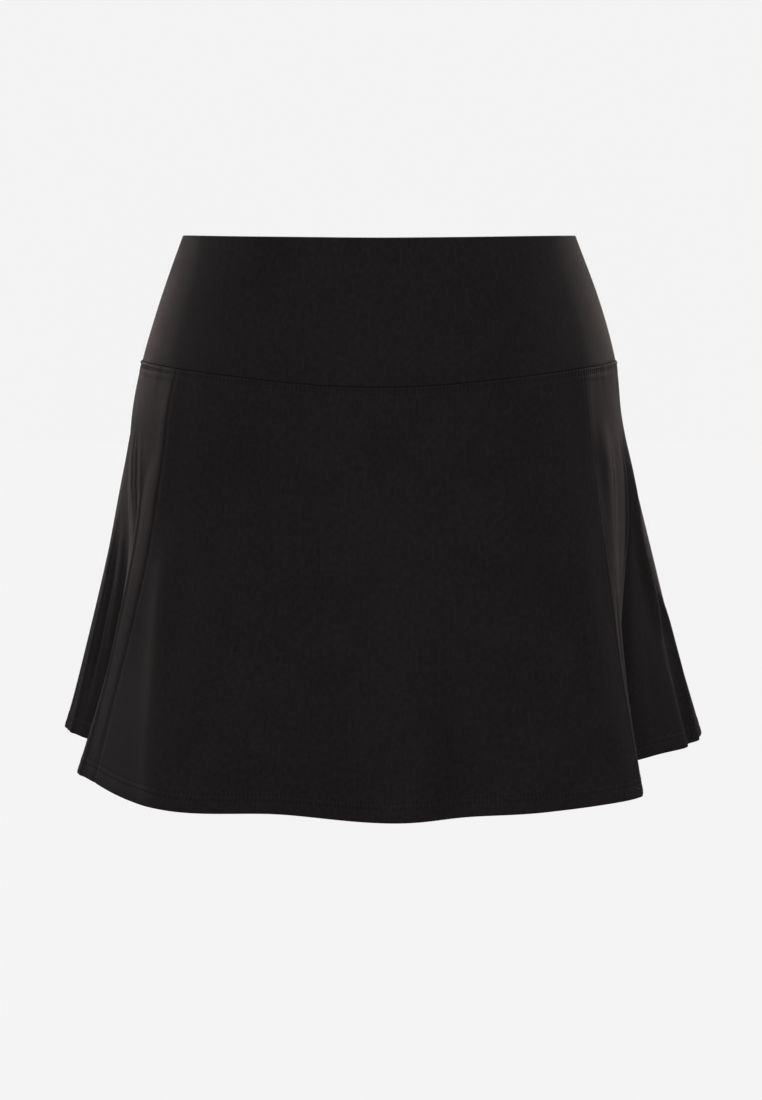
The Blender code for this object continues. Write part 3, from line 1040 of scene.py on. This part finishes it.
def shorts_outside(point_at, turn, fall, size, proud=0.0):
    """Points and normals on the outside of the shorts' cloth, with their seams and hem."""
    turn, fall = np.broadcast_arrays(np.asarray(turn, float), np.asarray(fall, float))
    form = point_at(turn, fall)
    normal, per_turn = outward(point_at, turn, fall, *SHORTS_STEPS)
    up = form[..., 2] - SHORTS_HEM_HEIGHT
    beside = np.minimum(turn + 1, 1 - turn) * per_turn
    relief = roll_in(beside, size.seam_roll, size.seam_sink) - rounded_edge(up, size.shorts_cloth)
    sunk = size.stitch_sink * grooves(up, twin_rows(size.leg_row, size.hem_gauge))
    relief = relief + proud - sunk
    return form + normal * relief[..., None], normal


def make_shorts_half(node_name, point_at, size, material):
    girth = SHORTS_HALF_GIRTH
    across = 2 * crowded(girth, (0, girth), near=0.0005, far=0.0056) / girth - 1
    rows = twin_rows(size.leg_row, size.hem_gauge)
    rise = crowded(RISE_SHARE * SHORTS_FALL, (0,), near=0.0005, far=0.0056) / SHORTS_FALL
    above_hem = [LEG_LENGTH - up for up in (0, *rows, size.leg_turn)]
    leg = leg_fall(LEG_LENGTH - crowded(LEG_LENGTH, above_hem, near=0.0003, far=0.0050))
    turn, fall = np.meshgrid(across, np.concatenate([rise[:-1], leg]))
    form = point_at(turn, fall)
    outer, normal = shorts_outside(point_at, turn, fall, size)
    up = form[..., 2] - SHORTS_HEM_HEIGHT
    inner = form - normal * turned_edge(up, size.leg_turn, size.shorts_cloth)[..., None]
    stitched = stitched_places(turn, [up - row for row in rows], leg_stitches(point_at, size))
    mesh = cloth_panel(outer, inner, cloth=flat_places(form), stitched=stitched)
    piece = add_piece(node_name + "_cloth", mesh, material)
    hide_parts(node_name)


class SKORT_OT_stitching(bpy.types.Operator):
    """Sew the twin rows of stitches below the yoke seam and round the hems"""

    bl_idname = "skort.stitching"
    bl_label = "Stitching"

    def execute(self, context):
        size, cloth = context.scene.skort_sizes, context.scene.skort_cloth
        material = material_named("sewing thread", sewing_thread, cloth.thread_colour)
        sew_yoke_seam(size, material)
        sew_hem(size, material)
        sew_legs(size, material)
        return {"FINISHED"}


def sew_yoke_seam(size, material):
    turn, lift = beats_round(yoke_seam_stitches(size))
    falls = [down / cloth_length(turn) for down in twin_rows(size.join_row, size.join_gauge)]
    rows = [(skirt_surface(turn, fall, size, lift)[0], True) for fall in falls]
    add_piece("yoke_seam_stitching", thread(rows, size.thread), material)


# The looper thread zigzags inside the hem, this far off the cloth. Its lift is the share of the way
# from the lower row to the upper one.
LOOPER_DEPTH = 0.00008
ZIGZAG = (Beat(0.0, 0.0), Beat(0.25, 0.5), Beat(0.5, 1.0), Beat(0.75, 0.5))


def sew_hem(size, material):
    """Twin rows outside, and the zigzag of the looper thread between them inside."""
    stitches = hem_stitches(size)
    turn, lift = beats_round(stitches)
    lower, upper = twin_rows(size.hem_row, size.hem_gauge)
    falls = [1 - up / cloth_length(turn) for up in (lower, upper)]
    rows = [(skirt_surface(turn, fall, size, lift)[0], True) for fall in falls]
    add_piece("hem_stitching", thread(rows, size.thread), material)
    turn, share = beats_round(stitches, ZIGZAG)
    up = lower + (upper - lower) * share
    points = skirt_inside(turn, 1 - up / cloth_length(turn), size, deeper=LOOPER_DEPTH)
    add_piece("hem_looper_thread", thread([(points, True)], size.thread), material)


def sew_legs(size, material):
    rows = []
    for point_at in (shorts_point, right_shorts_point):
        turn, lift = beats_round(leg_stitches(point_at, size))
        for up in twin_rows(size.leg_row, size.hem_gauge):
            rows.append((shorts_outside(point_at, turn, leg_fall(up), size, lift)[0], True))
    add_piece("shorts_hem_stitching", thread(rows, size.thread), material)


class SKORT_OT_allowances(bpy.types.Operator):
    """Make the overlocked seam allowances inside the skirt and below the yoke"""

    bl_idname = "skort.allowances"
    bl_label = "Seam Allowances"

    def execute(self, context):
        size, cloth = context.scene.skort_sizes, context.scene.skort_cloth
        skirt = material_named("skirt jersey", jersey, cloth.skirt_colour, cloth)
        yarn = material_named("sewing thread", sewing_thread, cloth.thread_colour)
        strips = [seam_strip(seam, size) for seam in SEAM_TURNS]
        add_piece("seam_allowances", joined([strip for strip, _ in strips]), skirt)
        add_piece("seam_overlocking", thread([row for _, row in strips], size.thread), yarn)
        ring, row = join_ring(size)
        add_piece("yoke_seam_allowance", ring, skirt)
        add_piece("yoke_seam_overlocking", thread([row], size.thread), yarn)
        return {"FINISHED"}


# An overlock stitch round the free edge of an allowance: how far through the stitch, how far in from
# the edge as a share of the allowance's width, and how far through its thickness
Loop = namedtuple("Loop", "share inset depth")
OVERLOCK = (Loop(0.0, -0.02, 0.5), Loop(0.12, 0.06, 1.0), Loop(0.5, 0.72, 1.0), Loop(0.88, 0.06, 1.0))

# The stitches' depths are multiplied by this, so that the thread lies just off the allowance
OVERLOCK_DEPTH = 1.05


def overlocked(place_at, count):
    """Points of overlock stitches, where place_at gives a point for a stitch, an inset and a depth."""
    number = (np.arange(count)[:, None] + np.array([loop.share for loop in OVERLOCK])).ravel()
    inset = np.tile([loop.inset for loop in OVERLOCK], count)
    depth = np.tile([loop.depth for loop in OVERLOCK], count)
    return place_at(number / count, inset, depth)


def thinned(share, loss):
    """1 in the middle of an allowance, and less at both edges, where it is cut or pressed."""
    return 1 - loss * np.abs(2 * share - 1) ** 6


def allowance_mesh(point_at, across, down, depth):
    """A closed allowance, where point_at gives a point for a place across, a place down and a depth."""
    outer, inner = point_at(across, down, 0 * down), point_at(across, down, depth)
    return cloth_panel(outer, inner, cloth=flat_places(outer), stitched=unstitched(down))


def seam_strip(seam, size):
    """The allowance of one gore seam, which lies inside towards the back, and its overlock stitches."""
    thick, gap = 0.0012, 0.0001
    start, end = 0.05, 1 - (size.hem_turn + 0.0004) / FOLDS[seam].length
    backwards = 1 if seam < len(FOLDS) / 2 else -1

    def strip_point(share, beside, depth):
        fall = start + (end - start) * share
        _, per_turn = outward(skirt_point, np.full_like(fall, seam), fall, *SKIRT_STEPS)
        turn = seam + backwards * beside * size.allowance / per_turn
        return skirt_inside(turn, fall, size, deeper=gap + thick * depth)

    across = np.array((0.02, 0.12, 0.35, 0.6, 0.85, 0.97, 1.0))
    across = across if backwards > 0 else across[::-1]
    beside, share = np.meshgrid(across, np.linspace(0, 1, 64))
    mesh = allowance_mesh(strip_point, share, beside, thinned(beside, loss=0.45))
    count = round((end - start) * FOLDS[seam].length / size.stitch)
    row = overlocked(lambda at, inset, depth: strip_point(at, 1 - inset, depth * OVERLOCK_DEPTH), count)
    return mesh, (row, False)


def join_ring(size):
    """The joined allowances of yoke, skirt and shorts, which lie inside the top of the shorts."""
    thick, height, gap = 0.0018, 0.0062, 0.00012
    inside = SHORTS_EASE + size.shorts_cloth + gap

    def below_seam(degrees, share):
        return figure_point(degrees, yoke_seam_height(degrees) - share * height)

    def ring_point(degrees, share, depth):
        normal, _ = outward(below_seam, degrees, share, *JOIN_STEPS)
        inward = inside + SHORTS_TAPER * share * height + thick * depth
        return below_seam(degrees, share) - normal * inward[..., None]

    around = np.linspace(0, 360, 300)
    degrees, share = np.meshgrid(around, (0.0, 0.1, 0.3, 0.55, 0.8, 0.95, 1.0))
    mesh = allowance_mesh(ring_point, degrees, share, thinned(share, loss=0.5))
    top = ring_point(around, 0 * around, 0 * around)
    count = round(lengths_along(top[None], 1)[0, -1] / size.stitch)
    row = overlocked(lambda at, inset, depth: ring_point(360 * at, 1 - inset, depth * OVERLOCK_DEPTH), count)
    return mesh, (row, True)


# The studio


class SKORT_OT_studio(bpy.types.Operator):
    """Set up the pale floor and backdrop, the soft lights and the camera"""

    bl_idname = "skort.studio"
    bl_label = "Studio"

    def execute(self, context):
        scene, studio = context.scene, context.scene.skort_studio
        light_room(scene, studio)
        lay_floor(scene, studio)
        soft_light("front light", (0.0, -2.2, 0.5), spread=1.0, beam=180, power=studio.front_light)
        soft_light("back light", (0.0, 1.5, 1.5), spread=1.0, beam=180, power=studio.back_light)
        for name, side, power in (("left", 1, studio.left_light), ("right", -1, studio.right_light)):
            aim = (0.14 * side, 0.0, -0.175)
            soft_light(name + " light", (1.35 * side, 0.58, 0.35), spread=0.5, beam=60, power=power, aim=aim)
            soft_light(name + " hip light", (0.90 * side, 1.07, 0.25), spread=0.25, beam=11,
                       power=studio.hip_light, aim=aim, colour=studio.hip_light_colour)
        make_camera(scene, studio)
        scene.view_settings.view_transform = "Standard"
        return {"FINISHED"}


def light_room(scene, studio):
    """A pale backdrop in every direction, and dimmer light on the cloth, brighter above and ahead."""
    world = bpy.data.worlds.new("studio")
    scene.world = world
    world.use_nodes = True
    tree = world.node_tree
    backdrop = tree.nodes["Background"]
    backdrop.inputs["Color"].default_value = (*studio.backdrop_colour, 1.0)
    direction = node(tree, "SeparateXYZ", Vector=tree.nodes.new("ShaderNodeTexCoord").outputs["Generated"])
    above = maths(tree, "MAXIMUM", direction.outputs["Z"], 0.0)
    ahead = maths(tree, "MAXIMUM", maths(tree, "MULTIPLY", direction.outputs["Y"], -1.0), 0.0)
    strength = maths(tree, "MULTIPLY_ADD", above, studio.light_above, studio.light_all_round)
    strength = maths(tree, "MULTIPLY_ADD", ahead, studio.light_ahead, strength)
    light = node(tree, "Background", Strength=strength)
    light.inputs["Color"].default_value = (1.0, 1.0, 1.0, 1.0)
    seen = tree.nodes.new("ShaderNodeLightPath").outputs["Is Camera Ray"]
    mixed = node(tree, "MixShader", i0=seen, i1=light.outputs[0], i2=backdrop.outputs[0])
    tree.links.new(mixed.outputs[0], tree.nodes["World Output"].inputs["Surface"])


def lay_floor(scene, studio):
    """A wide pale floor, as bright as the backdrop."""
    plate = bmesh.new()
    bmesh.ops.create_circle(plate, cap_ends=True, segments=96, radius=12.0)
    bmesh.ops.translate(plate, verts=plate.verts, vec=(0.0, 0.0, -studio.floor_drop))
    mesh = bpy.data.meshes.new("floor")
    plate.to_mesh(mesh)
    plate.free()
    material, _, shader = new_material("pale floor")
    shader.inputs["Base Color"].default_value = (0.02, 0.02, 0.02, 1.0)
    shader.inputs["Roughness"].default_value = 1.0
    shader.inputs["Specular IOR Level"].default_value = 0.0
    shader.inputs["Emission Color"].default_value = (*studio.backdrop_colour, 1.0)
    shader.inputs["Emission Strength"].default_value = 0.99
    mesh.materials.append(material)
    floor = bpy.data.objects.new("floor", mesh)
    scene.collection.objects.link(floor)
    floor.visible_diffuse = False
    floor.visible_glossy = False


def soft_light(name, place, spread, beam, power, aim=(0.0, 0.0, -0.15), colour=(1.0, 1.0, 1.0)):
    """A square soft box, "spread" across, that shines on the skort within a beam of so many degrees."""
    light = bpy.data.lights.new(name, "AREA")
    light.size = spread
    light.energy = power
    light.color = colour
    light.spread = math.radians(beam)
    holder = bpy.data.objects.new(name, light)
    bpy.context.scene.collection.objects.link(holder)
    holder.location = place
    holder.rotation_euler = (Vector(place) - Vector(aim)).to_track_quat("Z", "Y").to_euler()


# The frame is 36 mm along its longer side, as the lens setting says, and the camera stands a little
# to the wearer's left of the middle
FRAME_LENGTH = 36.0
CAMERA_ASIDE = 0.001


def make_camera(scene, studio):
    camera = bpy.data.cameras.new("camera")
    camera.sensor_width = FRAME_LENGTH
    camera.lens = studio.camera_lens
    holder = bpy.data.objects.new("camera", camera)
    scene.collection.objects.link(holder)
    holder.location = (CAMERA_ASIDE, -studio.camera_distance, 0.0)
    holder.rotation_euler = (math.pi / 2 - studio.camera_tilt, 0.0, 0.0)
    scene.camera = holder


class SKORT_PT_panel(bpy.types.Panel):
    """Lists the skort's pieces and settings"""

    bl_idname = "SKORT_PT_panel"
    bl_label = "Tennis Skort"
    bl_space_type = "VIEW_3D"
    bl_region_type = "UI"
    bl_category = "Skort"

    def draw(self, context):
        for operator in OPERATORS:
            self.layout.operator(operator.bl_idname)
        for settings in (context.scene.skort_sizes, context.scene.skort_cloth, context.scene.skort_studio):
            box = self.layout.box()
            for name in settings.__annotations__:
                box.prop(settings, name)


SETTINGS = {"skort_sizes": SkortSizes, "skort_cloth": SkortCloth, "skort_studio": SkortStudio}
OPERATORS = (
    SKORT_OT_yoke,
    SKORT_OT_gores,
    SKORT_OT_shorts,
    SKORT_OT_stitching,
    SKORT_OT_allowances,
    SKORT_OT_studio,
)


def register():
    for kind in (*SETTINGS.values(), *OPERATORS, SKORT_PT_panel):
        bpy.utils.register_class(kind)
    for name, kind in SETTINGS.items():
        setattr(bpy.types.Scene, name, bpy.props.PointerProperty(type=kind))


def unregister():
    for name in SETTINGS:
        delattr(bpy.types.Scene, name)
    for kind in (SKORT_PT_panel, *reversed(OPERATORS), *SETTINGS.values()):
        bpy.utils.unregister_class(kind)


def main():
    register()
    bpy.ops.skort.studio()
    bpy.ops.skort.yoke()
    bpy.ops.skort.gores()
    bpy.ops.skort.shorts()
    bpy.ops.skort.stitching()
    bpy.ops.skort.allowances()


if __name__ == "__main__":
    main()
